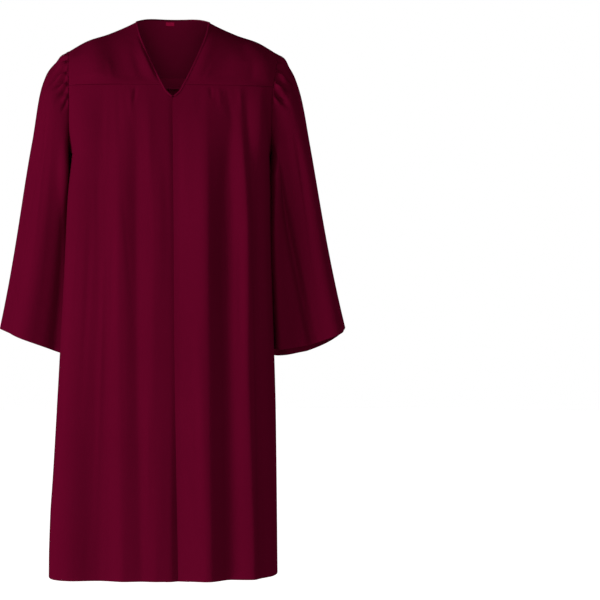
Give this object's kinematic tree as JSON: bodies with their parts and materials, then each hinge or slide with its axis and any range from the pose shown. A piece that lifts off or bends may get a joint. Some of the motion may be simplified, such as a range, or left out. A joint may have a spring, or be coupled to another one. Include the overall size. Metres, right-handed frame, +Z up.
{
  "type": "choir robe",
  "caption": "Knee-length V-neck robe with shoulder yokes, pleated fronts, a gathered back and open bell sleeves, hollow as when worn.",
  "frame": {"origin": "midway between the two neck points, where the neck edge meets the shoulder seams and the shoulders carry the robe", "axes": "+Z up from hem to neck, +Y from the front to the back, +X towards the wearer's left"},
  "size_m": [0.7752, 0.3178, 1.2432],
  "materials": {
    "robe_cloth": "matte",
    "label_cloth": "matte"
  },
  "bodies": {
    "root": {"front_yoke_right": "robe_cloth", "front_yoke_left": "robe_cloth", "back_yoke": "robe_cloth", "front_right": "robe_cloth", "front_left": "robe_cloth", "back_panel": "robe_cloth", "sleeve_right": "robe_cloth", "sleeve_left": "robe_cloth", "neck_binding": "robe_cloth", "size_label": "label_cloth"}
  },
  "joints": []
}
